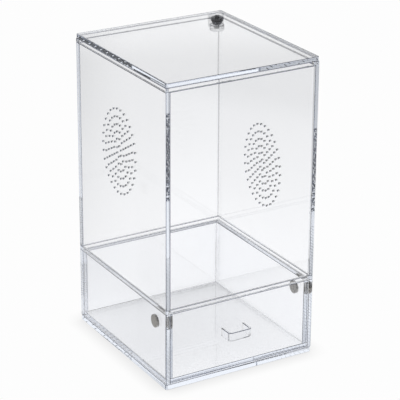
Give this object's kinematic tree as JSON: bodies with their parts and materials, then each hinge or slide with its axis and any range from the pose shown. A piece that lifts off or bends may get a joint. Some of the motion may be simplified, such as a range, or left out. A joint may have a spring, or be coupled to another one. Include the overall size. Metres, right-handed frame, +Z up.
{
  "type": "acrylic terrarium",
  "caption": "Tall clear acrylic terrarium: drilled round vents in both hood walls, pull-out substrate drawer with magnet catches, and a flat lid that swings on a corner stud.",
  "frame": {"origin": "under the middle of the base plate, on the surface it stands on", "axes": "+Z up, +Y to the back wall, +X to the right seen from the drawer's front"},
  "size_m": [0.19, 0.2221, 0.3543],
  "materials": {
    "acrylic_plate": "clear cast sheet, polished edges",
    "acrylic_wall": "clear cast sheet, polished edges",
    "acrylic_rim": "clear cast sheet, polished edges",
    "acrylic_drawer": "clear cast sheet, polished edges",
    "acrylic_lid": "clear cast sheet, polished edges",
    "acrylic_fitting": "clear, flame polished",
    "magnet_nickel": "nickel plated, fine brushed",
    "stud_metal": "turned and polished"
  },
  "bodies": {
    "shell": {"base_plate": "acrylic_plate", "base_wall_left": "acrylic_wall", "base_wall_right": "acrylic_wall", "base_wall_back": "acrylic_wall", "seam_rim": "acrylic_rim", "hood_wall_front": "acrylic_wall", "hood_wall_back": "acrylic_wall", "hood_wall_left": "acrylic_wall", "hood_wall_right": "acrylic_wall", "top_rim": "acrylic_rim", "pivot_boss": "acrylic_fitting", "shell_magnet_left": "magnet_nickel", "shell_magnet_right": "magnet_nickel"},
    "drawer": {"drawer_floor": "acrylic_drawer", "drawer_front": "acrylic_drawer", "drawer_wall_left": "acrylic_drawer", "drawer_wall_right": "acrylic_drawer", "drawer_wall_back": "acrylic_drawer", "drawer_pull": "acrylic_fitting", "drawer_magnet_left": "magnet_nickel", "drawer_magnet_right": "magnet_nickel"},
    "lid": {"lid_plate": "acrylic_lid", "pivot_stud": "stud_metal"}
  },
  "joints": [
    {"name": "drawer_slide", "type": "slide", "parent": "shell", "child": "drawer", "axis": [0, -1, 0], "range_m": [0, 0.16]},
    {"name": "lid_swing", "type": "hinge", "parent": "shell", "child": "lid", "pos_m": [0.0815, 0.089, 0.3494], "axis": [0, 0, 1], "range_deg": [0, 110]}
  ]
}
